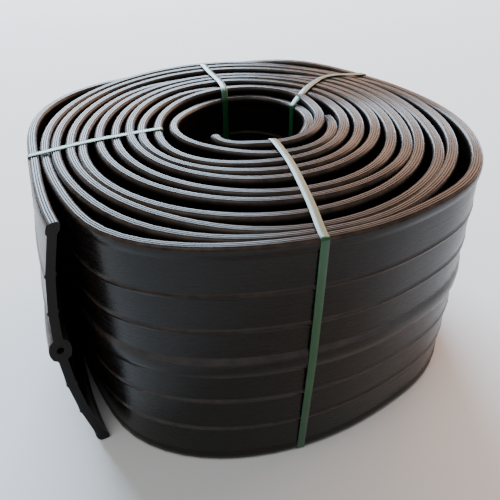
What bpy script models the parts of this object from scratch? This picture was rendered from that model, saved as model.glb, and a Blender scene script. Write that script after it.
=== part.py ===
"""Roll of ribbed PVC waterstop strip, standing on its end and tied with four plastic straps.

Units are metres, +Z is up, and the origin is at floor level under the middle of the roll's box.
The roll is one solid wound as the strip is: its outer wall and its bore follow the outermost and
the innermost turn, a spiral gap in each end parts the turns, and the free ends are real strip.
"""
import math

import bmesh
import bpy
from mathutils import Matrix, Vector

# Strip section
STRIP_WIDTH = 0.300
WEB_THICKNESS = 0.010
BEAD_THICKNESS = 0.012
BEAD_HEIGHT = 0.014
BEAD_SLOPE = 0.002
BEAD_EDGE = 0.001
RIB_OFFSETS = (0.093, 0.049)
RIB_BASE = 0.006
RIB_HEIGHT = 0.0012
BULB_HEIGHT = 0.028
BULB_COILED = 0.016
BULB_FREE = 0.024
BULB_HOLE = 0.009

# Winding, as radii of the strip's middle; each row of offsets goes round in steps of 30 degrees,
# from azimuth 0, because the roll is out of round and its turns are looser at the front
ROLL_RADIUS = 0.270
BORE_RADIUS = 0.085
OUTER_OFFSETS = (
    0.008, -0.009, -0.010, -0.001, -0.005, 0.010, 0.009, -0.002, 0.013, 0.014, 0.010, 0.012,
)
INNER_OFFSETS = (
    -0.002, 0.000, 0.019, 0.035, 0.027, 0.017, 0.010, -0.009, -0.025, -0.030, -0.023, -0.013,
)
MIDDLE_OFFSETS = (
    -0.006, 0.010, 0.012, 0.006, 0.013, 0.005, 0.002, 0.013, 0.011, 0.010, 0.005, -0.002,
)
FOOT_OFFSETS = (
    -0.003, 0.000, 0.000, 0.000, 0.000, 0.000, 0.000, 0.000, 0.000, -0.004, -0.025, -0.012,
)
FOOT_CURVE = 1.5
WHOLE_TURNS = 10
START_AZIMUTH = 45.0
GAP_DEPTH = 0.030
LEAST_GAP = 0.001
END_SETBACK = 0.0005
TURN_SIDES = 32

# Free outer end, which leaves the roll along its tangent and curls back a little
TAIL_AZIMUTH = 200.0
TAIL_LENGTH = 0.160
TAIL_ROOT = 0.018
TAIL_CURL = 0.012
TAIL_BOW = 0.016
TAIL_SLANT = 0.015
TAIL_STATIONS = 8

# Free inner ends, as (azimuth of the root, turns to there, sweep, shares of the root's radius):
# the strip's own end, and the start of the innermost turn, which is cut through
INNER_ENDS = {
    "inner_end": (45.0, 1, 195.0, (0.96, 0.73, 0.54, 0.445, 0.46, 0.49)),
    "cut_turn": (52.0, 0, 60.0, (1.0, 0.85, 0.71, 0.615)),
}
INNER_STATIONS = 11

# A free end's first section is thinner than the layer it grows from, and so lies inside it
ROOT_SHARE = 0.75

# Straps, as (azimuth and radius of the place they cross inside, azimuth where they cross outside)
STRAP_WIDTH = 0.009
STRAP_THICKNESS = 0.0008
CLEARANCE = 0.0003
STRAPS = {
    "strap_front": ("inner_end", 295.0, 283.3),
    "strap_left": ("bore", 178.0, 197.6),
    "strap_back_left": ("bore", 110.0, 110.0),
    "strap_back_right": ("bore", 59.0, 50.6),
}

# Worked out from the sizes above
TURNS = WHOLE_TURNS + (TAIL_AZIMUTH - START_AZIMUTH) / 360.0
STRIP_BASE = STRAP_THICKNESS + CLEARANCE
STRIP_TOP = STRIP_BASE + STRIP_WIDTH
STRIP_MIDDLE = STRIP_BASE + STRIP_WIDTH / 2

PVC = ("black_pvc", (0.012, 0.012, 0.013, 1.0), 0.42)
STRAP_GREEN = ("green_polypropylene", (0.03, 0.20, 0.09, 1.0), 0.35)


def clear_scene():
    for old in list(bpy.data.objects):
        bpy.data.objects.remove(old, do_unlink=True)


def make_collection(name, hidden=False):
    made = bpy.data.collections.new(name)
    made.hide_render = hidden
    bpy.context.scene.collection.children.link(made)
    return made


def make_material(name, colour, roughness):
    made = bpy.data.materials.new(name)
    made.use_nodes = True
    shader = made.node_tree.nodes["Principled BSDF"]
    shader.inputs["Base Color"].default_value = colour
    shader.inputs["Roughness"].default_value = roughness
    shader.inputs["Metallic"].default_value = 0.0
    made.diffuse_color = colour
    return made


def add_object(name, mesh, collection):
    made = bpy.data.objects.new(name, mesh)
    collection.objects.link(made)
    return made


def add_cutter(name, mesh, collection):
    made = add_object(name, mesh, collection)
    made.hide_render = True
    made.display_type = "WIRE"
    return made


def direction(degrees):
    angle = math.radians(degrees)
    return Vector((math.cos(angle), math.sin(angle), 0.0))


def half_section(bulb_thickness, ribs=RIB_OFFSETS):
    """(height from the strip's middle, half thickness) from the top edge to the bottom edge."""
    web = WEB_THICKNESS / 2
    bead = BEAD_THICKNESS / 2
    edge = STRIP_WIDTH / 2
    upper = [
        (edge, bead - BEAD_EDGE),
        (edge - BEAD_EDGE, bead),
        (edge - BEAD_HEIGHT, bead),
        (edge - BEAD_HEIGHT - BEAD_SLOPE, web),
    ]
    for offset in ribs:
        upper += [
            (offset + RIB_BASE / 2, web),
            (offset, web + RIB_HEIGHT),
            (offset - RIB_BASE / 2, web),
        ]
    upper += [
        (BULB_HEIGHT / 2, web),
        (BULB_HEIGHT / 4, web + (bulb_thickness / 2 - web) * 0.8),
    ]
    lower = [(-height, half) for height, half in reversed(upper)]
    return upper + [(0.0, bulb_thickness / 2)] + lower


def around(offsets, azimuth):
    """Smooth value at an azimuth, from values at even steps round a turn (Catmull-Rom)."""
    place = azimuth / 360.0 * len(offsets)
    step = math.floor(place)
    t = place - step
    a, b, c, d = (offsets[(step + shift) % len(offsets)] for shift in (-1, 0, 1, 2))
    curve = 2 * a - 5 * b + 4 * c - d + t * (3 * (b - c) + d - a)
    return b + 0.5 * t * (c - a + t * curve)


def layer_radius(turns, height=STRIP_WIDTH / 2):
    """Radius of the strip's middle after a number of turns, at a height from the middle."""
    azimuth = START_AZIMUTH + 360.0 * turns
    share = turns / TURNS
    low = 0.5 - height / STRIP_WIDTH
    inner = BORE_RADIUS + around(INNER_OFFSETS, azimuth)
    foot = around(FOOT_OFFSETS, azimuth) * max(low, 0.0) ** FOOT_CURVE
    outer = ROLL_RADIUS + around(OUTER_OFFSETS, azimuth) + foot
    slack = around(MIDDLE_OFFSETS, azimuth) * math.sin(math.pi * share)
    return inner + (outer - inner) * share + slack


def turn_loop(first_turn, height, side_shift):
    """Plan points of one turn of the strip's side, which ends a step out from where it began."""
    points = []
    for side in range(TURN_SIDES + 1):
        turns = first_turn + side / TURN_SIDES
        radius = layer_radius(turns, height) + side_shift
        points.append(direction(START_AZIMUTH + 360.0 * turns) * radius)
    return points


def turn_solid(name, first_turn, levels, collection):
    """The space inside one turn, through levels of (height, side shift, place along Z)."""
    shape = bmesh.new()
    rings = []
    for height, side_shift, place in levels:
        loop = turn_loop(first_turn, height, side_shift)
        rings.append([shape.verts.new((point.x, point.y, place)) for point in loop])
    for first, second in zip(rings, rings[1:]):
        for index, corner in enumerate(first):
            after = (index + 1) % len(first)
            shape.faces.new((corner, first[after], second[after], second[index]))
    bmesh.ops.triangulate(shape, faces=shape.faces)
    shape.faces.new(reversed(rings[0]))
    shape.faces.new(rings[-1])
    bmesh.ops.recalc_face_normals(shape, faces=shape.faces)
    mesh = bpy.data.meshes.new(name)
    shape.to_mesh(mesh)
    shape.free()
    return add_object(name, mesh, collection)


def outline_solid(name, loops, low, high, collection):
    """Nested closed loops of plan points, filled by turns and extruded from low to high."""
    curve = bpy.data.curves.new(name, "CURVE")
    curve.dimensions = "2D"
    curve.fill_mode = "BOTH"
    curve.extrude = (high - low) / 2
    for loop in loops:
        spline = curve.splines.new("POLY")
        spline.points.add(len(loop) - 1)
        for point, place in zip(spline.points, loop):
            point.co = (place[0], place[1], 0.0, 1.0)
        spline.use_cyclic_u = True
    flat = add_object(name + "_outline", curve, collection)
    flat.location.z = (low + high) / 2
    bpy.context.view_layer.update()
    graph = bpy.context.evaluated_depsgraph_get()
    mesh = bpy.data.meshes.new_from_object(flat.evaluated_get(graph))
    mesh.transform(flat.matrix_world)
    bpy.data.objects.remove(flat)
    weld(mesh)
    return mesh


def weld(mesh):
    shape = bmesh.new()
    shape.from_mesh(mesh)
    bmesh.ops.remove_doubles(shape, verts=shape.verts, dist=0.00001)
    bmesh.ops.recalc_face_normals(shape, faces=shape.faces)
    shape.to_mesh(mesh)
    shape.free()


def boolean(target, tool, operation):
    step = target.modifiers.new(operation.lower(), "BOOLEAN")
    step.operation = operation
    step.object = tool
    step.solver = "EXACT"


def apply_modifiers(target):
    bpy.context.view_layer.update()
    graph = bpy.context.evaluated_depsgraph_get()
    mesh = bpy.data.meshes.new_from_object(target.evaluated_get(graph))
    target.modifiers.clear()
    target.data = mesh


def swept_strip(name, stations, ribs, collection):
    """Strip lofted through stations of (place, outward direction, bulb, bow, share, slant).

    The share is of the section's thickness, and grows from ROOT_SHARE to one. The slant is how far
    the section's foot lies from its top in plan.
    """
    shape = bmesh.new()
    rings = []
    for place, outward, bulb, bow, thickness, slant in stations:
        section = half_section(bulb, ribs)
        ring = []
        for side, knots in ((1.0, section), (-1.0, list(reversed(section)))):
            for height, half in knots:
                share = 2 * height / STRIP_WIDTH
                shift = side * half * thickness + bow * (1.0 - share * share)
                corner = place + outward * shift + slant * (1.0 - share) / 2
                corner.z = max(STRIP_MIDDLE + height, STRIP_BASE + END_SETBACK)
                ring.append(shape.verts.new(corner))
        rings.append(ring)
    for first, second in zip(rings, rings[1:]):
        for index, corner in enumerate(first):
            after = (index + 1) % len(first)
            shape.faces.new((corner, first[after], second[after], second[index]))
    shape.faces.new(reversed(rings[0]))
    shape.faces.new(rings[-1])
    bmesh.ops.recalc_face_normals(shape, faces=shape.faces)
    mesh = bpy.data.meshes.new(name)
    shape.to_mesh(mesh)
    shape.free()
    return add_cutter(name, mesh, collection)


def gap_cutter(name, height, low, high, cutters):
    """The spiral gap between each turn and the next, from low to high, pointed at both its ends."""
    sides = int((TURNS - 1) * TURN_SIDES) - 1
    rims = []
    for side in range(sides + 1):
        turns = TURNS - 1 - side / TURN_SIDES
        within = layer_radius(turns, height)
        beyond = layer_radius(turns + 1, height)
        half = max(beyond - within - BEAD_THICKNESS, LEAST_GAP) / 2
        if side in (0, sides):
            half = 0.0
        along = direction(START_AZIMUTH + 360.0 * turns)
        middle = (within + beyond) / 2
        rims.append((along * (middle + half), along * (middle - half)))
    shape = bmesh.new()
    slices = []
    for outer, inner in rims:
        slices.append([
            shape.verts.new((place.x, place.y, level))
            for place, level in ((outer, low), (outer, high), (inner, high), (inner, low))
        ])
    for first, second in zip(slices, slices[1:]):
        for index in range(4):
            after = (index + 1) % 4
            shape.faces.new((first[index], first[after], second[after], second[index]))
    bmesh.ops.remove_doubles(shape, verts=shape.verts, dist=0.00001)
    bmesh.ops.recalc_face_normals(shape, faces=shape.faces)
    mesh = bpy.data.meshes.new(name)
    shape.to_mesh(mesh)
    shape.free()
    return add_cutter(name, mesh, cutters)


def tail_point(distance):
    """Plan place and outward direction on the tail, distance along it from where it leaves."""
    share = distance / TAIL_LENGTH
    out = direction(TAIL_AZIMUTH)
    along = direction(TAIL_AZIMUTH + 90.0)
    start = out * layer_radius(TURNS)
    slope = 2 * TAIL_CURL * share / TAIL_LENGTH
    outward = (out + along * slope).normalized()
    return start + along * distance - out * TAIL_CURL * share * share, outward


def tail_stations():
    stations = []
    along = direction(TAIL_AZIMUTH + 90.0)
    for step in range(TAIL_STATIONS):
        share = step / (TAIL_STATIONS - 1)
        place, outward = tail_point((TAIL_LENGTH + TAIL_ROOT) * share - TAIL_ROOT)
        bulb = BULB_COILED + (BULB_FREE - BULB_COILED) * share
        thickness = min(1.0, ROOT_SHARE + share)
        bow = TAIL_BOW * share * share
        stations.append((place, outward, bulb, bow, thickness, along * TAIL_SLANT * share))
    return stations


def inner_end_radius(name, azimuth):
    """Radius of a free inner end's middle at an azimuth behind its root."""
    root, turns, sweep, shares = INNER_ENDS[name]
    root_radius = layer_radius(turns + (root - START_AZIMUTH) / 360.0)
    place = (root - azimuth) % 360.0 / sweep * (len(shares) - 1)
    step = min(int(place), len(shares) - 2)
    ends = (2 * shares[0] - shares[1], 2 * shares[-1] - shares[-2])
    knots = (ends[0], *shares, ends[1])
    t = place - step
    a, b, c, d = knots[step:step + 4]
    curve = 2 * a - 5 * b + 4 * c - d + t * (3 * (b - c) + d - a)
    return root_radius * (b + 0.5 * t * (c - a + t * curve))


def inner_end_stations(name):
    root, _, sweep, _ = INNER_ENDS[name]
    places = []
    for step in range(INNER_STATIONS):
        azimuth = root - sweep * step / (INNER_STATIONS - 1)
        places.append(direction(azimuth) * inner_end_radius(name, azimuth))
    stations = []
    for step, place in enumerate(places):
        run = places[max(step - 1, 0)] - places[min(step + 1, INNER_STATIONS - 1)]
        outward = Vector((run.y, -run.x, 0.0)).normalized()
        thickness = min(1.0, ROOT_SHARE + step / (INNER_STATIONS - 1))
        stations.append((place, outward, BULB_COILED, 0.0, thickness, Vector()))
    return stations


def build_roll(collection, cutters):
    top = STRIP_TOP - END_SETBACK
    wall = [
        [height, half, STRIP_MIDDLE + height]
        for height, half in half_section(BULB_COILED)
    ]
    wall[0][2] = top
    roll = turn_solid("waterstop_roll", TURNS - 1, wall, collection)

    overshoot = 0.02
    bore = [
        [height, -half, STRIP_MIDDLE + height]
        for height, half in half_section(BULB_COILED, ribs=())
    ]
    bore[0][2] = STRIP_TOP + overshoot
    bore[-1][2] = STRIP_BASE - overshoot
    bore_cutter = turn_solid("bore_cutter", 0, bore, cutters)
    bore_cutter.hide_render = True
    bore_cutter.display_type = "WIRE"
    boolean(roll, bore_cutter, "DIFFERENCE")

    for name, height, low, high in (
        ("top_gap_cutter", STRIP_WIDTH / 2, top - GAP_DEPTH, top + overshoot),
        ("bottom_gap_cutter", -STRIP_WIDTH / 2, STRIP_BASE - overshoot, STRIP_BASE + GAP_DEPTH),
    ):
        boolean(roll, gap_cutter(name, height, low, high, cutters), "DIFFERENCE")

    boolean(roll, swept_strip("outer_end", tail_stations(), RIB_OFFSETS, cutters), "UNION")
    for name in INNER_ENDS:
        boolean(roll, swept_strip(name, inner_end_stations(name), (), cutters), "UNION")
    boolean(roll, bulb_hole_cutter(cutters), "DIFFERENCE")
    apply_modifiers(roll)
    weld(roll.data)
    return roll


def bulb_hole_cutter(cutters):
    """The bulb's hollow, open at the tail's cut end and blind inside the roll."""
    curve = bpy.data.curves.new("bulb_hole", "CURVE")
    curve.dimensions = "3D"
    curve.bevel_depth = BULB_HOLE / 2
    curve.bevel_resolution = 2
    curve.use_fill_caps = True
    spline = curve.splines.new("POLY")
    stops = (0.3, 0.5, 0.7, 0.86, 1.0, 1.1)
    along = direction(TAIL_AZIMUTH + 90.0)
    spline.points.add(len(stops) - 1)
    for point, share in zip(spline.points, stops):
        place, outward = tail_point((TAIL_LENGTH + TAIL_ROOT) * share - TAIL_ROOT)
        place += outward * TAIL_BOW * share * share + along * TAIL_SLANT * share / 2
        point.co = (place.x, place.y, STRIP_MIDDLE, 1.0)
    line = add_object("bulb_hole_line", curve, cutters)
    bpy.context.view_layer.update()
    graph = bpy.context.evaluated_depsgraph_get()
    mesh = bpy.data.meshes.new_from_object(line.evaluated_get(graph))
    bpy.data.objects.remove(line)
    weld(mesh)
    return add_cutter("bulb_hole_cutter", mesh, cutters)


def rounded(corners, bend):
    """A closed loop of points with each corner cut to a short curve that starts bend away."""
    points = []
    for index, corner in enumerate(corners):
        start, end = (
            corner + (other - corner) * min(bend / (other - corner).length, 0.45)
            for other in (corners[index - 1], corners[(index + 1) % len(corners)])
        )
        points += [start, (start + 2 * corner + end) / 4, end]
    return points


def crossings(line, origin, run):
    """Distances along run from origin at which a strap's full width meets a line of points."""
    across = Vector((-run.y, run.x, 0.0))
    half = STRAP_WIDTH / 2 + CLEARANCE
    met = []
    for first, second in zip(line, line[1:]):
        ends = [((point - origin).dot(run), (point - origin).dot(across)) for point in (first, second)]
        (s0, t0), (s1, t1) = sorted(ends, key=lambda end: end[1])
        if t1 < -half or t0 > half or t1 - t0 < 1e-9:
            continue
        for t in (max(t0, -half), min(t1, half)):
            met.append(s0 + (s1 - s0) * (t - t0) / (t1 - t0))
    return met


def strap_faces(inner_side, inner_azimuth, outer_azimuth):
    """Start and direction of a strap in plan, and the strip's outermost (distance, height)s."""
    outer = direction(outer_azimuth) * layer_radius(TURNS)
    section = half_section(BULB_COILED)
    deepest = max(half for _, half in section)
    if inner_side == "bore":
        radius = layer_radius((inner_azimuth - START_AZIMUTH) % 360.0 / 360.0)
        lines = [turn_loop(0, height, -half) for height, half in section]
    else:
        radius = inner_end_radius(inner_side, inner_azimuth)
        stations = inner_end_stations(inner_side)
        lines = [[station[0] - station[1] * deepest for station in stations]]
    inner = direction(inner_azimuth) * radius
    run = (outer - inner).normalized()
    origin = inner - run * radius / 2
    met = [s for line in lines for s in crossings(line, origin, run) if s > 0]
    start = origin + run * (min(met) - CLEARANCE)
    profile = []
    for height, half in section:
        reach = max(crossings(turn_loop(TURNS - 1, height, half), start, run))
        profile.append((reach + CLEARANCE, STRIP_MIDDLE + height))
    return start, run, profile


def taut(profile):
    """The points of a profile, from its top down, that a strap stretched over it touches."""
    touched = []
    for reach, height in profile:
        while len(touched) > 1:
            (r0, h0), (r1, h1) = touched[-2:]
            if (r1 - r0) * (height - h0) < (reach - r0) * (h1 - h0):
                break
            touched.pop()
        touched.append((reach, height))
    return touched


def build_strap(name, inner_side, inner_azimuth, outer_azimuth, collection, cutters):
    """A flat band that loops through the bore and round the strip's turns."""
    start, run, profile = strap_faces(inner_side, inner_azimuth, outer_azimuth)
    touched = taut(profile)
    top = STRIP_TOP + CLEARANCE
    touched[0] = (touched[0][0], top)
    touched[-1] = (touched[-1][0], STRAP_THICKNESS)
    low = [Vector((0.0, top)), Vector((0.0, STRAP_THICKNESS))]
    low += [Vector(point) for point in reversed(touched)]
    thick = STRAP_THICKNESS
    grown = [Vector((-thick, top + thick)), Vector((-thick, 0.0))]
    grown += [Vector((reach + thick, height)) for reach, height in reversed(touched)]
    grown[2].y = 0.0
    grown[-1].y = top + thick
    loops = [rounded(grown, thick * 1.5), rounded(low, thick * 0.5)]
    mesh = outline_solid(name, loops, -STRAP_WIDTH / 2, STRAP_WIDTH / 2, cutters)
    across = Vector((0.0, 0.0, 1.0)).cross(run)
    turn = Matrix((run, Vector((0.0, 0.0, 1.0)), -across)).transposed().to_4x4()
    mesh.transform(Matrix.Translation(start) @ turn)
    weld(mesh)
    return add_object(name, mesh, collection)


def centre_on_origin(objects):
    """Moves everything in plan so that the box round it is centred on the origin."""
    corners = [vertex.co for each in objects for vertex in each.data.vertices]
    middle = Vector()
    for axis in (0, 1):
        places = [corner[axis] for corner in corners]
        middle[axis] = (min(places) + max(places)) / 2
    for each in objects:
        each.data.transform(Matrix.Translation(-middle))
    return middle


def main():
    clear_scene()
    collection = make_collection("pvc_waterstop_roll")
    cutters = make_collection("cutters", hidden=True)
    pvc = make_material(*PVC)
    green = make_material(*STRAP_GREEN)
    roll = build_roll(collection, cutters)
    roll.data.materials.clear()
    roll.data.materials.append(pvc)
    pieces = [roll]
    for name, places in STRAPS.items():
        strap = build_strap(name, *places, collection, cutters)
        strap.data.materials.append(green)
        pieces.append(strap)
    centre_on_origin(pieces)
    roll.data.shade_smooth()
    roll.data.set_sharp_from_angle(angle=math.radians(35.0))


main()
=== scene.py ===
"""Roll of black PVC waterstop tied with green straps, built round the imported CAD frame."""
import math

import bpy
import numpy as np
from bpy.props import FloatProperty, FloatVectorProperty, PointerProperty
from bpy.types import Operator, Panel, PropertyGroup
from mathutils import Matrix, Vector


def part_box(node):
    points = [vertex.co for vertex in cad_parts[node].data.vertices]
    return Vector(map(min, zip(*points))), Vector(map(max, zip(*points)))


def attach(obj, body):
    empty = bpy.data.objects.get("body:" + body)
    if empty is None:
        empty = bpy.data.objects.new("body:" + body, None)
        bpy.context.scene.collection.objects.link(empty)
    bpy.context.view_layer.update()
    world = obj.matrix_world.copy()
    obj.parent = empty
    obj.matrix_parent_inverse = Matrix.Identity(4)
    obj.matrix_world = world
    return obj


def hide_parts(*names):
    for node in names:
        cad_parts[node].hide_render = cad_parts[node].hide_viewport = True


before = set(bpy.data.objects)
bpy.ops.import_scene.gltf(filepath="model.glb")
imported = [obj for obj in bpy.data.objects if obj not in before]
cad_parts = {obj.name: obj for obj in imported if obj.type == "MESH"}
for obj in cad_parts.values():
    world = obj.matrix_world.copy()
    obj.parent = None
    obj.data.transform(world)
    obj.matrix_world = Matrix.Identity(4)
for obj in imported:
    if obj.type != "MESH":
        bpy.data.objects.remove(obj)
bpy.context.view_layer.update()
ROLL_LOW, ROLL_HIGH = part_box("waterstop_roll")
HALF_HEIGHT = (ROLL_HIGH.z - ROLL_LOW.z) / 2

bl_info = {
    "name": "Waterstop Roll",
    "version": (1, 0, 0),
    "blender": (4, 5, 0),
    "location": "3D View > Sidebar > Waterstop",
    "description": "Builds a strapped roll of ribbed PVC waterstop from its section and turns",
    "category": "Object",
}

MM = 0.001

# Ribs' heights above and below the strip's middle, in metres
RIB_OFFSETS = (0.094, 0.050)
# Rows of points down a side: from the lip to the web as shares of the lip's height, over a rib as
# shares of its width and its height, and over the bulb as shares of its half height
LIP_ROWS = (0.75, 1.0, 1.15)
RIB_ROWS = ((0.75, 0.0), (0.5, 0.0), (0.0, 1.0), (-0.5, 0.0), (-0.75, 0.0))
BULB_ROWS = (1.1, 1.0, 0.75)
# Steps across the upper and the lower lip, the power by which a lip falls to its sides, and the
# grooves along the upper one, as shares of its half thickness
UPPER_STEPS = 20
LOWER_STEPS = 8
LIP_POWER = 5
LIP_GROOVES = (-0.6, -0.2, 0.2, 0.6)
# Degrees between two stations of the strip, and the angle above which an edge is drawn sharp
STATION_STEP = 4.5
SHARP_ANGLE = 38.0

# Turns of the strip, seen from above: millimetres from the roll's axis to the middle of the upper
# lip. A row is one turn anticlockwise, at 225 degrees and every 45 degrees from there to 180.
TURNS = (
    (57, 49, 57, 76.5, 110, 143, 136, 121),
    (113.5, 98, 101, 112.5, 134, 157, 150, 141),
    (132, 118.5, 121.5, 131.5, 153.5, 170.5, 170, 156),
    (145, 136.5, 137.5, 151.5, 170.5, 184, 184, 173),
    (167, 167, 170.5, 169.5, 184, 197.5, 197.5, 192),
    (186.5, 182.5, 186.5, 185.5, 197.5, 211, 212, 208),
    (215.5, 213, 205.5, 201.5, 210.5, 224.5, 228, 224),
    (227, 237, 231, 219, 224, 238, 242, 241),
    (246, 249.5, 242.5, 240, 237.5, 251.5, 255, 256),
    (264, 263, 259.5, 263.5, 250.5, 265, 266, 277),
)
FIRST_AZIMUTH = 225.0
TURN_STEP = 45.0
INNER_TIP = (210.0, 55.0)
# Places between those, as (whole turns, azimuth, millimetres): where the strip climbs out of the
# bore, where the front strap pulls the turns together, where the left strap does, and the tail.
MORE_KNOTS = (
    (1, 15.0, 86.0),
    (1, 30.0, 97.5),
    (1, 60.0, 126.5),
    (1, 75.0, 138.0),
    (5, 337.0, 189.0),
    (6, 285.0, 210.5),
    (6, 300.0, 207.5),
    (7, 255.0, 233.0),
    (7, 300.0, 234.0),
    (7, 345.0, 224.5),
    (8, 240.0, 252.0),
    (8, 285.0, 245.5),
    (8, 300.0, 245.5),
    (9, 200.0, 253.0),
    (9, 238.0, 276.5),
    (9, 255.0, 273.0),
    (9, 285.0, 257.5),
    (9, 300.0, 257.0),
    (9, 330.0, 267.0),
    (9, 345.0, 267.5),
    (10, 11.0, 259.0),
    (10, 25.0, 252.5),
    (10, 67.0, 260.0),
    (10, 165.0, 284.0),
    (10, 200.0, 265.6),
    (10, 210.0, 269.8),
    (10, 218.0, 278.0),
    (10, 225.0, 288.5),
    (10, 230.5, 298.5),
)
# The innermost turn is cut through and lies loose in the bore, sunk at the back and at its ends:
# azimuth, millimetres from the axis, and millimetres that its upper lip is raised.
LOOSE_TURN = (
    (-38.0, 46.0, -13.0),
    (-8.0, 60.0, -8.0),
    (10.0, 69.0, -5.0),
    (48.0, 97.0, -7.0),
    (70.0, 116.0, -10.0),
    (90.0, 129.0, -10.5),
    (112.0, 126.0, -10.0),
    (134.0, 113.0, -7.0),
    (160.0, 104.5, -2.0),
    (180.0, 101.0, 0.0),
    (225.0, 78.0, 0.0),
    (270.0, 71.0, 0.0),
    (315.0, 83.0, 0.0),
    (345.0, 93.5, 0.0),
    (360.0, 98.0, 0.0),
    (375.0, 103.0, -2.0),
    (390.0, 111.0, -9.0),
)
# The bulb's hole: whether it opens at a length's last end, and how many stations it goes in. It
# has 8 sides, and narrows with the bulb, to nothing where that would be 0.6 of the web's thickness.
HOLES = ((True, 8), (False, 6))
HOLE_SIDES = 8
HOLE_CLOSED = 0.6
# From the CAD model's axis to the centre of those measurements
PLAN_SHIFT = np.array((6.22, 1.49)) * MM
# The roll leans in towards its foot: azimuth, and millimetres that the foot of the outermost turn
# stands out. The wall follows a power of the depth.
FOOT_CURVE = 1.5
FOOT_LEAN = (
    (0, -3), (30, 0), (90, 0), (150, 0), (200, -3), (225, -6), (250, -3), (270, 2), (280, -3),
    (286, -9), (303, -16), (318, -12.5), (331, -9.5), (345, -7), (360, -3),
)
# The back straps have pulled some turns down: whole turns, azimuth, and millimetres that the
# upper lip is raised.
SUNK_TURNS = (
    (0, 0, 0), (2, 50, 0), (2, 75, -5), (2, 108, -5), (2, 130, 0),
    (6, 60, 0), (6, 80, -4.5), (6, 120, -4.5), (6, 145, 0),
    (9, 40, 0), (9, 60, -3), (9, 85, -3), (9, 100, 0),
    (10, 45, 0), (10, 57, -2), (10, 66, 1), (10, 76, 1.5), (10, 86, -1.5), (10, 94, -5),
    (10, 103, -7), (10, 124, -6.5), (10, 134, -4), (10, 147, 0), (10, 231, 0),
)
# Slow waves of the upper lip: radians a metre along the strip, and phase
WAVES = ((9.1, 0.0), (5.3, 1.7))

# Towards the free end, as degrees before it and millimetres: how far the foot runs on past the
# top, how far the wall's middle is pushed outward, and how much the bulb swells in the last turn
TAIL_SLANT = ((40, 0), (0, 15))
TAIL_BOW = ((110, 0), (80, 0), (46, 3), (28, 8), (12, 15), (0, 23))
TAIL_BULB = ((430, 0), (380, 3), (40, 3))
# Degrees before the free end at which its lips begin to swell
TAIL_LIPS = 24

# Straps: node, places that they cross on top of the roll from the outside in, in millimetres from
# the centre of the measurements, and how far the foot of the outer leg stands to the side.
STRAPS = {
    "front_strap": ("strap_front", ((62, -262), (57, -192), (42, -105), (27, -53), (23, -45)), 8),
    "left_strap": ("strap_left", ((-256, -82), (-194, -47), (-120, -4)), 0),
    "back_left_strap": ("strap_back_left",
                        ((-93, 241), (-68, 199), (-48, 153), (-43, 128), (-42, 115)), 0),
    "back_right_strap": ("strap_back_right",
                         ((161, 206), (106, 187), (78, 140), (67, 112), (56, 84)), 0),
}
# Straps whose inner leg goes round the wound strip, and not round the loose turn
ROUND_WOUND = ("front_strap", "left_strap")
# Stations of the wound strip among which a strap's outer and inner leg find their place
OUTER_STATIONS = 90
INNER_STATIONS = 100
# Heights of a leg's corners, as shares of the half height from the middle
LEG_SHARES = (1.0, 0.5, 0.07, -0.07, -0.5, -1.0)
# Clearance of the straps over the lips and off the wall, and how far they lie flat on the floor
RUN_CLEARANCE = 0.0008
LEG_CLEARANCE = 0.0002
FLOOR_REACH = 0.03
# Lip thicknesses before the outer rim up to which a strap's top run stays level
RIM_SETBACK = 1.2
# Points round each bend of a strap, and the greatest share of a side that a bend takes
BEND_POINTS = 7
BEND_SHARE = 0.45
# Section of a strap, as shares of its half width and half thickness
STRAP_SECTION = ((-1, -0.5), (-0.94, -1), (0, -1), (0.94, -1), (1, -0.5),
                 (1, 0.5), (0.94, 1), (0, 1), (-0.94, 1), (-1, 0.5))

# Panel lights: azimuth, elevation, and width and height in metres. The lips mirror the first at
# the left and the second at the right.
LIGHT_DISTANCE = 8.0
LIGHTS = {
    "sky": (114.0, 27.0, (6.6, 5.2)),
    "wall": (56.0, 24.0, (8.6, 5.0)),
    "fill": (235.0, 62.0, (5.0, 5.0)),
}
STAGE_REACH = 6.0
# Camera fitted to the photo: metres before the centre of the measurements and above the roll,
# degrees that it looks down and to the left, and focal length on a 36 mm sensor
CAMERA_BACK = 0.72634
CAMERA_UP = 0.3137
CAMERA_DOWN = 34.69
CAMERA_LEFT = 0.416
FOCAL_LENGTH = 44.64
SENSOR_WIDTH = 36.0


def linear(code):
    """Linear colour of an sRGB hex code: a straight toe, and above it a power of 2.4."""
    shares = [int(code[place:place + 2], 16) / 255 for place in (1, 3, 5)]
    return (*(share / 12.92 if share <= 0.04045 else ((share + 0.055) / 1.055) ** 2.4
              for share in shares), 1.0)


def colour_property(name, description, code):
    """A colour setting, whose default is given as an sRGB hex code."""
    return FloatVectorProperty(name=name, description=description, default=linear(code), size=4,
                               subtype="COLOR", min=0.0, max=1.0)


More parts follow.
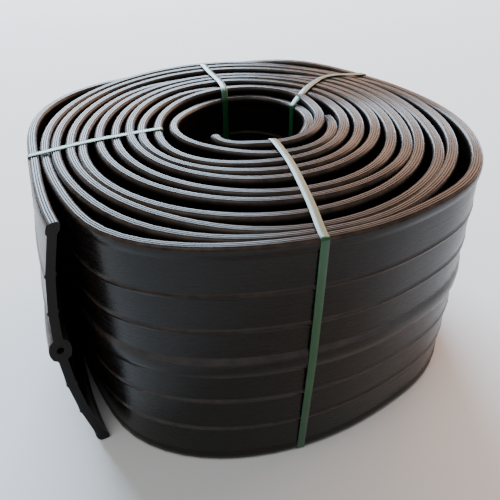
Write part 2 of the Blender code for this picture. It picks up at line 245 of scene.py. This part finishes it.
class StripSettings(PropertyGroup):
    """Sizes and colours of the waterstop strip."""

    web: FloatProperty(name="Web", description="Thickness of the strip between its lips",
                       default=0.010, unit="LENGTH")
    lip_wound: FloatProperty(name="Wound Lip", description="Thickness of a lip in the roll",
                             default=0.012, unit="LENGTH")
    lip_free: FloatProperty(name="Free Lip", description="Thickness of a lip at the free end",
                            default=0.0140, unit="LENGTH")
    lip_height: FloatProperty(name="Lip Height", description="Height of the lip along each edge",
                              default=0.013, unit="LENGTH")
    lip_crown: FloatProperty(name="Lip Crown", description="Fall of the lip's top to its sides",
                             default=0.0034, unit="LENGTH")
    groove: FloatProperty(name="Groove", description="Depth of the fine grooves in the upper lip",
                          default=0.0008, unit="LENGTH")
    rib_height: FloatProperty(name="Rib Height", description="How far a rib stands off the web",
                              default=0.0015, unit="LENGTH")
    rib_width: FloatProperty(name="Rib Width", description="Width of a rib at its foot",
                             default=0.006, unit="LENGTH")
    bulb_height: FloatProperty(name="Bulb Height", description="Height of the centre bulb",
                               default=0.028, unit="LENGTH")
    bulb_wound: FloatProperty(name="Wound Bulb", description="Thickness of the bulb in the roll",
                              default=0.0135, unit="LENGTH")
    bulb_free: FloatProperty(name="Free Bulb", description="Thickness of the bulb at the free end",
                             default=0.024, unit="LENGTH")
    hole: FloatProperty(name="Bulb Hole", description="Diameter of the hole in the free bulb",
                        default=0.0086, unit="LENGTH")
    wave: FloatProperty(name="Waves", description="Height of the upper lip's slow waves",
                        default=0.0006, unit="LENGTH")
    colour: colour_property("PVC", "Colour of the clean PVC", "#0e0c0b")
    # Brown of the dust on the lips' shoulders, which also serves as a painted brown reflection
    # there
    dust_and_sheen: colour_property("Dust", "Colour of the dust", "#705c4d")


class StrapSettings(PropertyGroup):
    """Size and colour of the straps."""

    width: FloatProperty(name="Width", description="Width of the strap", default=0.009,
                         unit="LENGTH")
    thickness: FloatProperty(name="Thickness", description="Thickness of the strap",
                             default=0.0007, unit="LENGTH")
    bend: FloatProperty(name="Bend", description="Radius of the strap's bends over the lips",
                        default=0.0035, unit="LENGTH")
    sweep: FloatProperty(name="Sweep", description="Radius of the strap's turns on the roll's top",
                         default=0.035, unit="LENGTH")
    colour: colour_property("Polypropylene", "Colour of the strap", "#1f5933")
    deep: colour_property("Deep", "Colour of the strap where it is darker", "#164025")


class StageSettings(PropertyGroup):
    """Floor, light and camera."""

    floor: colour_property("Floor", "Colour of the floor", "#f2f2f1")
    floor_dark: colour_property("Mottling", "Colour of the floor's mottling", "#efefed")
    world: colour_property("Surroundings", "Colour of the light from all round", "#f4f4f6")
    world_strength: FloatProperty(name="Surrounding Light", default=0.3, min=0.0,
                                  description="Strength of the light from all round")
    sky_colour: colour_property("Sky", "Colour of the light behind", "#c8dcf0")
    sky_power: FloatProperty(name="Sky Light", description="Power of the cool light behind",
                             default=2700.0, min=0.0)
    wall_colour: colour_property("Wall", "Colour of the light behind, at the right", "#c8a088")
    wall_power: FloatProperty(name="Wall Light", default=1250.0, min=0.0,
                              description="Power of the warm light behind, at the right")
    fill_colour: colour_property("Fill", "Colour of the light above", "#ffffff")
    fill_power: FloatProperty(name="Fill Light", default=200.0, min=0.0,
                              description="Power of the soft light above, at the front left")


# Shapes


def unit(vectors):
    """Vectors over their lengths."""
    return vectors / np.linalg.norm(vectors, axis=-1, keepdims=True)


def ahead(outward):
    """Outward directions in plan, turned a quarter anticlockwise."""
    return np.stack((-outward[..., 1], outward[..., 0]), -1)


def spline(knots, values, places):
    """Natural cubic spline: cubics that share slope and bend at the knots, straight at the ends."""
    knots, values = np.asarray(knots, float), np.asarray(values, float)
    gap = np.diff(knots)
    slope = np.diff(values) / gap
    inner = np.arange(1, len(knots) - 1)
    system = np.eye(len(knots))
    system[inner, inner - 1] = gap[:-1]
    system[inner, inner] = 2 * (gap[:-1] + gap[1:])
    system[inner, inner + 1] = gap[1:]
    bend = np.zeros(len(knots))
    bend[1:-1] = 6 * np.diff(slope)
    bend = np.linalg.solve(system, bend)
    span = np.clip(np.searchsorted(knots, places) - 1, 0, len(knots) - 2)
    run, width = places - knots[span], gap[span]
    first, second = bend[span], bend[span + 1]
    return (values[span] + run * (slope[span] - width * (2 * first + second) / 6)
            + run ** 2 * first / 2 + run ** 3 * (second - first) / (6 * width))


def distances(points):
    """Distance along a polyline to each of its points: the running sum of its sides."""
    sides = np.linalg.norm(np.diff(points, axis=0), axis=1)
    return np.concatenate(([0.0], np.cumsum(sides)))


def smooth(values, width=9):
    """Running mean of values along a path, whose ends are held."""
    padded = np.pad(values, width // 2, mode="edge")
    return np.convolve(padded, np.ones(width) / width, mode="valid")


def main_knots():
    """Angle from the first turn's zero, and radius in metres, of the wound strip's knots."""
    knots = [INNER_TIP]
    radii = [radius for turn in TURNS for radius in turn]
    knots += [(FIRST_AZIMUTH + TURN_STEP * step, radius) for step, radius in enumerate(radii)]
    knots += [(360.0 * turns + azimuth, radius) for turns, azimuth, radius in MORE_KNOTS]
    knots.sort()
    angles, radii = np.array(knots).T
    return angles, radii * MM


def plan_path(angles, radii):
    """Angle, place, outward direction and distance along, at stations of a strip seen from above.

    The radius is a spline of the angle, and the outward direction is the path's own normal.
    """
    steps = int((angles[-1] - angles[0]) / STATION_STEP)
    places = np.linspace(angles[0], angles[-1], steps + 1)
    radius = spline(angles, radii, places)
    turned = np.radians(places)
    line = radius[:, None] * np.stack((np.cos(turned), np.sin(turned)), -1) + PLAN_SHIFT
    outward = -ahead(unit(np.gradient(line, axis=0)))
    return places, line, outward, distances(line)


def strip_side(strip, bulb, lip):
    """Half thickness and height down one side of the strip, for each station's bulb and lip.

    The bulb is half an ellipse on the web, and its levels include the ends of its hole.
    """
    web = strip.web / 2
    hole = strip.hole / strip.bulb_height
    heights = HALF_HEIGHT - strip.lip_height * np.array(LIP_ROWS)
    rises = np.zeros(len(LIP_ROWS))
    across, rise = np.array(RIB_ROWS).T
    for offset in RIB_OFFSETS:
        heights = np.concatenate((heights, offset + strip.rib_width * across))
        rises = np.concatenate((rises, strip.rib_height * rise))
    plain = np.broadcast_to(web + rises, (len(bulb), len(rises))).copy()
    plain[:, 0] = lip / 2
    level = np.array((*BULB_ROWS, hole, hole / 2, 0.0))
    level = np.concatenate((level, -level[-2::-1]))
    middle = web + (bulb[:, None] / 2 - web) * np.sqrt(np.clip(1 - level ** 2, 0, 1))
    height = np.concatenate((heights, level * strip.bulb_height / 2, -heights[::-1]))
    thickness = np.concatenate((plain, middle, plain[:, ::-1]), axis=1)
    return thickness, height


def lip_edge(strip, steps, grooves=()):
    """Shares of the half thickness, and heights, over a lip that falls by a power of the share."""
    share = np.linspace(-1, 1, steps + 1)
    drop = strip.lip_crown * np.abs(share) ** LIP_POWER
    for place in grooves:
        drop[np.argmin(np.abs(share - place))] += strip.groove
    return share, HALF_HEIGHT - drop


def strip_rings(strip, path, shape):
    """Rings of points of the strip: over the upper lip, down outside, under, and up inside.

    The wall's shift moves them outward, the lift raises them in proportion to their height, and the
    slant moves them along the strip in proportion to their depth.
    """
    _, line, outward, _ = path
    thickness, height = strip_side(strip, shape["bulb"], shape["lip"])
    upper, upper_height = lip_edge(strip, UPPER_STEPS, LIP_GROOVES)
    lower, lower_height = lip_edge(strip, LOWER_STEPS)
    half_lip = shape["lip"][:, None] / 2
    across = np.concatenate((half_lip * upper, thickness, -half_lip * lower,
                             -thickness[:, ::-1]), axis=1)
    up = np.concatenate((upper_height, height, -lower_height, height[::-1]))
    share = up / HALF_HEIGHT
    depth = np.clip((1 - share) / 2, 0, 1)
    out = across + wall_shift(share, shape)
    rings = np.empty((len(line), len(up), 3))
    rings[:, :, :2] = (line[:, None] + outward[:, None] * out[:, :, None]
                       + ahead(outward)[:, None] * (shape["slant"][:, None] * depth)[:, :, None])
    rings[:, :, 2] = ROLL_LOW.z + HALF_HEIGHT + up + shape["lift"][:, None] * (1 + share) / 2
    around = distances(np.stack((across[0], up), -1))
    return rings, around, len(upper), len(height)


def wall_shift(share, shape):
    """How far bow and lean move the strip outward, at shares of its half height.

    The bow is a parabola over the height, and the lean follows a power of the depth.
    """
    depth = np.clip((1 - share) / 2, 0, 1)
    return (shape["bow"][:, None] * (1 - share ** 2)
            + shape["lean"][:, None] * depth ** FOOT_CURVE)


def grid_quads(index):
    """Quads of a grid of vertex numbers whose rows are rings."""
    after = np.roll(index, -1, axis=1)
    return np.stack((index[:-1], after[:-1], after[1:], index[1:]), axis=-1).reshape(-1, 4)


def grid_uvs(along, around):
    """UVs in metres of a grid: distances along the rows and round a ring."""
    return np.stack(np.broadcast_arrays(along[:, None], around[None]), -1).reshape(-1, 2)


def cut_end(ring, count_edge, count_side, hole_ring, forward):
    """Faces of a sawn end: bands between the two sides, parted round the bulb's hole.

    Five rows of each side lie beside the hole, level with its corners from the top to the bottom.
    """
    upper_edge = ring[:count_edge]
    right = ring[count_edge:count_edge + count_side]
    lower_edge = ring[count_edge + count_side:-count_side]
    left = ring[-count_side:][::-1]
    middle = count_side // 2
    hole_right = hole_ring[[0, 1, 2, 3, 4]]
    hole_left = hole_ring[[0, 7, 6, 5, 4]]
    near = np.arange(middle - 2, middle + 3)
    bands = []
    for first in (np.arange(0, middle - 1), np.arange(middle + 2, count_side)):
        bands.append((left[first], right[first]))
    bands.append((left[near], hole_left))
    bands.append((hole_right, right[near]))
    faces = [np.stack((a[:-1], b[:-1], b[1:], a[1:]), -1) for a, b in bands]
    faces = np.concatenate(faces).tolist()
    faces.append([left[0], *upper_edge, right[0]])
    faces.append([right[-1], *lower_edge, left[-1]])
    if not forward:
        faces = [face[::-1] for face in faces]
    return faces


def foot_lean(places, radii):
    """How far the foot stands outside the top at each angle, in proportion to the radius."""
    azimuth, lean = np.array(FOOT_LEAN).T
    return np.interp(places % 360, azimuth, lean * MM) * radii / radii.max()


def strip_path(strip, angles, radii, lifts, bulbs, free_lip, bows, slants):
    """The path of a length of strip, and its section's changes along it.

    The lips are pressed thin at the left, where the turns are pulled together, and swell to their
    free thickness at the right by a cosine of the azimuth.
    """
    path = plan_path(angles, radii)
    places, line, _, along = path
    loose = (1 + np.cos(np.radians(places))) / 2
    swell = strip.lip_free - strip.lip_wound
    shape = {
        "bulb": np.interp(places, *bulbs),
        "lip": strip.lip_wound + swell * np.maximum(loose, np.interp(places, *free_lip)),
        "bow": np.clip(spline(*bows, places), 0, None),
        "slant": np.interp(places, *slants),
        "lift": (smooth(np.interp(places, *lifts), 5)
                 + strip.wave * sum(np.sin(along * rate + phase) for rate, phase in WAVES)),
        "lean": smooth(foot_lean(places, np.linalg.norm(line - PLAN_SHIFT, axis=1))),
    }
    return path, shape


def strip_mesh(strip, path, shape, first_number):
    """Vertices, faces and UVs of one length of strip, whose bulb is hollow at both ends."""
    _, line, outward, along = path
    rings, around, count_edge, count_side = strip_rings(strip, path, shape)
    stations, size = rings.shape[:2]
    index = first_number + np.arange(stations * size).reshape(stations, size)
    faces = grid_quads(index).tolist()
    points = [rings.reshape(-1, 3)]
    uvs = [grid_uvs(along, around)]
    used = first_number + stations * size
    turn = np.pi / 2 - 2 * np.pi / HOLE_SIDES * np.arange(HOLE_SIDES)
    up = strip.hole / 2 * np.sin(turn)
    middle = wall_shift(np.zeros(1), shape)
    narrow = strip.web * HOLE_CLOSED
    for at_end, depth in HOLES:
        order = np.arange(stations - 1, stations - 1 - depth, -1) if at_end else np.arange(depth)
        wide = strip.hole / 2 * (shape["bulb"][order] - narrow) / (strip.bulb_free - narrow)
        out = middle[order] + wide[:, None] * np.cos(turn)
        axis = line[order] + ahead(outward[order]) * shape["slant"][order][:, None] / 2
        tube = np.empty((depth, HOLE_SIDES, 3))
        tube[:, :, :2] = axis[:, None] + outward[order][:, None] * out[:, :, None]
        tube[:, :, 2] = ROLL_LOW.z + HALF_HEIGHT + up + shape["lift"][order][:, None] / 2
        numbers = used + np.arange(depth * HOLE_SIDES).reshape(depth, HOLE_SIDES)
        walls, bottom = grid_quads(numbers), numbers[-1]
        ring = index[-1] if at_end else index[0]
        faces += cut_end(ring, count_edge, count_side, numbers[0], at_end)
        faces += (walls if at_end else walls[:, ::-1]).tolist()
        faces.append((bottom if at_end else bottom[::-1]).tolist())
        points.append(tube.reshape(-1, 3))
        uvs.append(grid_uvs(along[order], up))
        used += depth * HOLE_SIDES
    return np.concatenate(points), faces, np.concatenate(uvs)


def add_piece(name, points, faces, uvs, material, node):
    """A mesh object from arrays, with a UV map in metres, riding on the roll."""
    mesh = bpy.data.meshes.new(name)
    mesh.from_pydata(points.tolist(), [], faces)
    layer = mesh.uv_layers.new(name="metres")
    corners = np.empty(len(mesh.loops), np.int32)
    mesh.loops.foreach_get("vertex_index", corners)
    layer.data.foreach_set("uv", uvs[corners].ravel().astype(np.float32))
    mesh.shade_smooth()
    mesh.set_sharp_from_angle(angle=math.radians(SHARP_ANGLE))
    mesh.materials.append(material)
    piece = bpy.data.objects.new(name, mesh)
    bpy.context.scene.collection.objects.link(piece)
    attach(piece, "root")
    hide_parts(node)


# Straps


def nearest(line, place):
    """Number of the station of a path that lies nearest to a place in plan."""
    return int(np.argmin(np.linalg.norm(line - place, axis=1)))


def strap_leg(strap, path, shape, station, side, foot):
    """Corners of a strap's leg from the lip's corner down to the floor, and its width direction.

    It is taut between the lips and the bulb, follows the wall's bow and lean, and runs aside in
    proportion to its depth.
    """
    clear = strap.thickness / 2 + LEG_CLEARANCE
    _, line, outward, _ = path
    lip, bulb = shape["lip"][station] / 2, shape["bulb"][station] / 2
    across = ahead(outward[station])
    corners = []
    for share in LEG_SHARES:
        shift = wall_shift(np.array((share,)), shape)[station, 0] * side
        out = lip + max(bulb - lip, 0) * (1 - abs(share)) + shift + clear
        place = line[station] + outward[station] * side * out - across * foot * (1 - share) / 2
        high = ROLL_LOW.z + HALF_HEIGHT * (1 + share)
        corners.append((*place, high, across))
    top = corners[0]
    corners[0] = (*top[:2], top[2] + clear + shape["lift"][station], across)
    corners[-1] = (*corners[-1][:2], strap.thickness / 2, across)
    return corners


def strap_route(strap, strip, places, foot, turns, inner_turns):
    """Corners of a strap's closed loop and its width direction at each.

    It lies on the lips' tops, bends over the outer and inner turn, and runs down both to the floor.
    """
    path, shape = turns
    first = len(path[1]) - OUTER_STATIONS
    station = first + nearest(path[1][first:], places[0])
    outer = strap_leg(strap, path, shape, station, 1, foot)
    path, shape = inner_turns
    inner = strap_leg(strap, path, shape, nearest(path[1], places[-1]), -1, 0.0)
    low, top = strap.thickness / 2, ROLL_HIGH.z + strap.thickness / 2 + RUN_CLEARANCE
    outer_rim, inner_rim, outer_foot, inner_foot = (
        np.array(corner[:2]) for corner in (outer[0], inner[0], outer[-1], inner[-1]))
    run = unit(outer_rim - inner_rim)
    under = (outer_foot - run * FLOOR_REACH, inner_foot + run * FLOOR_REACH)
    over = [*places[-2:0:-1], outer_rim - run * strip.lip_wound * RIM_SETBACK]
    corners = [*outer, *((*place, low, ahead(run)) for place in under), *inner[::-1]]
    bends = [strap.bend] * len(corners) + [strap.sweep] * len(over)
    for before, place, after in zip((inner_rim, *over), over, (*over[1:], outer_rim)):
        corners.append((*place, top, ahead(unit(after - before))))
    return corners, bends


def rounded_loop(corners, bends):
    """Points of a closed polyline whose corners are quadratic curves of about the given bends."""
    places = np.array([corner[:3] for corner in corners])
    widths = np.array([(*corner[3], 0.0) for corner in corners])
    before = np.roll(places, 1, axis=0) - places
    after = np.roll(places, -1, axis=0) - places
    start, end = (
        places + unit(side) * np.minimum(bends, np.linalg.norm(side, axis=1) * BEND_SHARE)[:, None]
        for side in (before, after))
    t = np.linspace(0, 1, BEND_POINTS)[:, None, None]
    curve = (1 - t) ** 2 * start + 2 * t * (1 - t) * places + t ** 2 * end
    return curve.transpose(1, 0, 2).reshape(-1, 3), unit(np.repeat(widths, BEND_POINTS, axis=0))


def strap_mesh(strap, points, sideways):
    """Band of rounded section carried along a closed loop; its faces follow the loop's normal."""
    heading = unit(np.roll(points, -1, axis=0) - np.roll(points, 1, axis=0))
    normal = unit(np.cross(heading, sideways))
    section = np.array(STRAP_SECTION) * (strap.width / 2, strap.thickness / 2)
    rings = (points[:, None] + sideways[:, None] * section[None, :, :1]
             + normal[:, None] * section[None, :, 1:])
    stations, size = rings.shape[:2]
    index = np.arange(stations * size).reshape(stations, size)
    index = np.concatenate((index, index[:1]))
    uvs = grid_uvs(distances(points), section[:, 0])
    return rings.reshape(-1, 3), grid_quads(index).tolist(), uvs


# Materials


def add_node(tree, kind, inputs, **settings):
    """Adds a node with its settings; an input is a value or another node's socket."""
    node = tree.nodes.new(kind)
    for name, value in settings.items():
        setattr(node, name, value)
    for name, value in inputs.items():
        if isinstance(value, bpy.types.NodeSocket):
            tree.links.new(value, node.inputs[name])
        else:
            node.inputs[name].default_value = value
    return node


def map_range(tree, value, low, high, to_low, to_high):
    """Output of a node that maps low to high onto another range in proportion, and clamps."""
    node = add_node(tree, "ShaderNodeMapRange", {"Value": value, "From Min": low, "From Max": high,
                                                 "To Min": to_low, "To Max": to_high})
    return node.outputs[0]


def product(tree, first, second):
    """Output of a node that multiplies two values."""
    return add_node(tree, "ShaderNodeMath", {0: first, 1: second}, operation="MULTIPLY").outputs[0]


def blend(tree, factor, first, second):
    """Output of a node that goes from one colour to another in proportion to a factor."""
    node = add_node(tree, "ShaderNodeMix", {"Factor": factor, "A": first, "B": second},
                    data_type="RGBA")
    return node.outputs["Result"]


def new_material(name):
    """A material with its node tree, and the Principled shader on its output."""
    material = bpy.data.materials.new(name)
    material.use_nodes = True
    tree = material.node_tree
    return material, tree, tree.nodes["Principled BSDF"]


def extruded_pvc(strip):
    """Flexible PVC, extruded: satin black with fine lines along it, brown where it faces partly up,
    which is partly dust and partly a painted brown reflection on the lips' shoulders.
    """
    material, tree, shader = new_material("extruded_black_pvc")
    place = add_node(tree, "ShaderNodeTexCoord", {})
    uv = add_node(tree, "ShaderNodeUVMap", {}, uv_map="metres")
    # Lines from the die about 1.5 mm apart, drawn out to 60 mm along the strip
    stretched = add_node(tree, "ShaderNodeMapping", {"Vector": uv.outputs[0],
                                                     "Scale": (16.0, 650.0, 1.0)})
    lines = add_node(tree, "ShaderNodeTexNoise", {"Vector": stretched.outputs[0], "Scale": 1.0,
                                                  "Detail": 3.0, "Roughness": 0.6})
    # Patches 15 mm across of the dust and the painted sheen
    patches = add_node(tree, "ShaderNodeTexNoise", {"Vector": place.outputs["Object"],
                                                    "Scale": 65.0, "Detail": 6.0,
                                                    "Roughness": 0.65})
    surface = add_node(tree, "ShaderNodeNewGeometry", {})
    facing = add_node(tree, "ShaderNodeSeparateXYZ", {"Vector": surface.outputs["Normal"]})
    # Brown on the lips' rounded shoulders, partly dust and partly a painted brown reflection; it
    # fades off their tops, where handling rubs the dust off
    held = map_range(tree, facing.outputs["Z"], 0.1, 0.6, 0.02, 0.5)
    rubbed = map_range(tree, facing.outputs["Z"], 0.75, 0.97, 1.0, 0.25)
    spread = map_range(tree, patches.outputs[0], 0.3, 0.7, 0.2, 1.0)
    dust_and_sheen_mask = product(tree, product(tree, held, rubbed), spread)
    # The lines part the gloss into fine streaks along the strip
    gloss = map_range(tree, lines.outputs[0], 0.3, 0.7, 0.2, 0.36)
    # Grain 1 mm across
    grain = add_node(tree, "ShaderNodeTexNoise", {"Vector": place.outputs["Object"],
                                                  "Scale": 900.0, "Detail": 2.0})
    fine = add_node(tree, "ShaderNodeBump", {"Height": grain.outputs[0], "Strength": 0.06,
                                             "Distance": 0.0003})
    drawn = add_node(tree, "ShaderNodeBump", {"Height": lines.outputs[0], "Strength": 0.15,
                                              "Distance": 0.0004, "Normal": fine.outputs[0]})
    # Base colour goes brown on the shoulders: dust mixed with a painted brown sheen
    tree.links.new(blend(tree, dust_and_sheen_mask, strip.colour, strip.dust_and_sheen), shader.inputs["Base Color"])
    tree.links.new(gloss, shader.inputs["Roughness"])
    tree.links.new(drawn.outputs[0], shader.inputs["Normal"])
    shader.inputs["IOR"].default_value = 1.5
    shader.inputs["Specular IOR Level"].default_value = 0.22
    return material


def embossed_strap(strap):
    """Polypropylene strapping: rolled with a lozenge emboss that breaks up its gloss."""
    material, tree, shader = new_material("embossed_green_polypropylene")
    uv = add_node(tree, "ShaderNodeUVMap", {}, uv_map="metres")
    # Lozenges 2 mm across, as the rollers leave them
    crossed = add_node(tree, "ShaderNodeMapping", {"Vector": uv.outputs[0],
                                                   "Rotation": (0.0, 0.0, math.radians(45)),
                                                   "Scale": (500.0, 500.0, 1.0)})
    lozenges = add_node(tree, "ShaderNodeTexChecker", {"Vector": crossed.outputs[0],
                                                       "Scale": 1.0})
    # Uneven colour, in clouds 20 mm across
    cloud = add_node(tree, "ShaderNodeTexNoise", {"Vector": uv.outputs[0], "Scale": 45.0,
                                                  "Detail": 4.0})
    colour = blend(tree, cloud.outputs[0], strap.deep, strap.colour)
    emboss = add_node(tree, "ShaderNodeBump", {"Height": lozenges.outputs[1], "Strength": 0.25,
                                               "Distance": 0.0001})
    tree.links.new(colour, shader.inputs["Base Color"])
    tree.links.new(emboss.outputs[0], shader.inputs["Normal"])
    shader.inputs["Roughness"].default_value = 0.28
    shader.inputs["IOR"].default_value = 1.49
    return material


def matte_floor(stage):
    """Painted studio floor: matte, with the faintest mottling, 0.3 m across."""
    material, tree, shader = new_material("matte_pale_floor")
    place = add_node(tree, "ShaderNodeTexCoord", {})
    mottle = add_node(tree, "ShaderNodeTexNoise", {"Vector": place.outputs["Object"],
                                                   "Scale": 3.0, "Detail": 5.0})
    colour = blend(tree, mottle.outputs[0], stage.floor_dark, stage.floor)
    tree.links.new(colour, shader.inputs["Base Color"])
    shader.inputs["Roughness"].default_value = 0.9
    shader.inputs["Specular IOR Level"].default_value = 0.1
    return material


# Operators


def before_end(angles, table):
    """Angles, and values in metres, of a table that gives degrees before the free end."""
    degrees, values = np.array(((angles[-1] - angles[0], table[0][1]), *table), float).T
    return angles[-1] - degrees, values * MM


def strip_parts(strip):
    """Settings of the two lengths of strip: the wound one with its tail, and the loose turn."""
    angles, radii = main_knots()
    flat = strip.bulb_wound
    swollen = (0, (strip.bulb_free - flat) / MM)
    bulb_angles, swelling = before_end(angles, (*TAIL_BULB, swollen))
    sunk_turns, azimuths, sunk_lifts = np.array(SUNK_TURNS, float).T
    wound = dict(
        angles=angles, radii=radii,
        lifts=(360 * sunk_turns + azimuths, sunk_lifts * MM),
        slants=before_end(angles, TAIL_SLANT),
        bulbs=(bulb_angles, flat + swelling),
        free_lip=((angles[-1] - TAIL_LIPS, angles[-1]), (0.0, 1.0)),
        bows=before_end(angles, TAIL_BOW),
    )
    angles, radii, lifts = np.array(LOOSE_TURN).T
    ends = (angles[0], angles[-1])
    even = (ends, (0.0, 0.0))
    loose = dict(angles=angles, radii=radii * MM, lifts=(angles, lifts * MM),
                 bulbs=(ends, (flat, flat)), free_lip=even, bows=even, slants=even)
    return wound, loose


class WATERSTOP_OT_strip(Operator):
    """Wind the waterstop strip into its roll"""

    bl_idname = "waterstop.strip"
    bl_label = "Wind Strip"

    def execute(self, context):
        strip = context.scene.waterstop_strip
        wound, loose = (strip_path(strip, **part) for part in strip_parts(strip))
        points, faces, uvs = strip_mesh(strip, *wound, 0)
        more_points, more_faces, more_uvs = strip_mesh(strip, *loose, len(points))
        add_piece("waterstop_strip", np.concatenate((points, more_points)), faces + more_faces,
                  np.concatenate((uvs, more_uvs)), extruded_pvc(strip),
                  "waterstop_roll")
        return {"FINISHED"}


class WATERSTOP_OT_straps(Operator):
    """Tie the roll with its four straps"""

    bl_idname = "waterstop.straps"
    bl_label = "Tie Straps"

    def execute(self, context):
        strip = context.scene.waterstop_strip
        strap = context.scene.waterstop_strap
        material = embossed_strap(strap)
        wound, loose = (strip_path(strip, **part) for part in strip_parts(strip))
        path, shape = wound
        start = (tuple(values[:INNER_STATIONS] for values in path),
                 {name: values[:INNER_STATIONS] for name, values in shape.items()})
        for name, (node, places, foot) in STRAPS.items():
            places = np.array(places) * MM + PLAN_SHIFT
            innermost = start if name in ROUND_WOUND else loose
            corners, bends = strap_route(strap, strip, places, foot * MM, wound, innermost)
            points, sideways = rounded_loop(corners, bends)
            points, faces, uvs = strap_mesh(strap, points, sideways)
            add_piece(name, points, faces, uvs, material, node)
        return {"FINISHED"}


def area_light(name, azimuth, elevation, size, power, colour):
    """A rectangular light that faces the roll's top from an azimuth and elevation."""
    data = bpy.data.lights.new(name, "AREA")
    data.shape = "RECTANGLE"
    data.size, data.size_y = size
    data.energy = power
    data.color = colour[:3]
    lamp = bpy.data.objects.new(name, data)
    bpy.context.scene.collection.objects.link(lamp)
    turn, rise = math.radians(azimuth), math.radians(elevation)
    away = Vector((math.cos(turn) * math.cos(rise), math.sin(turn) * math.cos(rise),
                   math.sin(rise)))
    lamp.location = Vector((0.0, 0.0, ROLL_HIGH.z)) + away * LIGHT_DISTANCE
    lamp.rotation_euler = away.to_track_quat("Z", "Y").to_euler()
    lamp.visible_camera = False


class WATERSTOP_OT_stage(Operator):
    """Add the floor, the lights and the camera"""

    bl_idname = "waterstop.stage"
    bl_label = "Set Stage"

    def execute(self, context):
        stage = context.scene.waterstop_stage
        scene = context.scene
        mesh = bpy.data.meshes.new("floor")
        corners = ((-1, -1), (1, -1), (1, 1), (-1, 1))
        mesh.from_pydata([(x * STAGE_REACH, y * STAGE_REACH, 0.0) for x, y in corners], [],
                         [(0, 1, 2, 3)])
        mesh.materials.append(matte_floor(stage))
        floor = bpy.data.objects.new("floor", mesh)
        scene.collection.objects.link(floor)

        world = bpy.data.worlds.new("studio")
        world.use_nodes = True
        background = world.node_tree.nodes["Background"]
        background.inputs["Color"].default_value = stage.world
        background.inputs["Strength"].default_value = stage.world_strength
        scene.world = world
        for name, (azimuth, elevation, size) in LIGHTS.items():
            area_light(name + "_light", azimuth, elevation, size, getattr(stage, name + "_power"),
                       getattr(stage, name + "_colour"))

        data = bpy.data.cameras.new("photo_view")
        data.lens = FOCAL_LENGTH
        data.sensor_width = SENSOR_WIDTH
        data.clip_start = 0.05
        camera = bpy.data.objects.new("photo_view", data)
        scene.collection.objects.link(camera)
        camera.location = (PLAN_SHIFT[0], PLAN_SHIFT[1] - CAMERA_BACK, ROLL_HIGH.z + CAMERA_UP)
        camera.rotation_euler = (math.radians(90 - CAMERA_DOWN), 0.0, math.radians(CAMERA_LEFT))
        scene.camera = camera
        return {"FINISHED"}


class WATERSTOP_PT_panel(Panel):
    """Settings and steps of the waterstop roll"""

    bl_label = "Waterstop Roll"
    bl_idname = "WATERSTOP_PT_panel"
    bl_space_type = "VIEW_3D"
    bl_region_type = "UI"
    bl_category = "Waterstop"

    def draw(self, context):
        layout = self.layout
        for group, operator in (("waterstop_strip", "waterstop.strip"),
                                ("waterstop_strap", "waterstop.straps"),
                                ("waterstop_stage", "waterstop.stage")):
            settings = getattr(context.scene, group)
            box = layout.box()
            for name in settings.__annotations__:
                box.prop(settings, name)
            box.operator(operator)


SETTINGS = {
    "waterstop_strip": StripSettings,
    "waterstop_strap": StrapSettings,
    "waterstop_stage": StageSettings,
}
CLASSES = (*SETTINGS.values(), WATERSTOP_OT_strip, WATERSTOP_OT_straps, WATERSTOP_OT_stage,
           WATERSTOP_PT_panel)


def register():
    """Register the classes, and their settings on the scene."""
    for cls in CLASSES:
        bpy.utils.register_class(cls)
    for name, group in SETTINGS.items():
        setattr(bpy.types.Scene, name, PointerProperty(type=group))


def unregister():
    """Remove the settings and the classes."""
    for name in SETTINGS:
        delattr(bpy.types.Scene, name)
    for cls in reversed(CLASSES):
        bpy.utils.unregister_class(cls)


def main():
    """Build the roll, its straps and the stage."""
    register()
    bpy.ops.waterstop.strip()
    bpy.ops.waterstop.straps()
    bpy.ops.waterstop.stage()


if __name__ == "__main__":
    main()
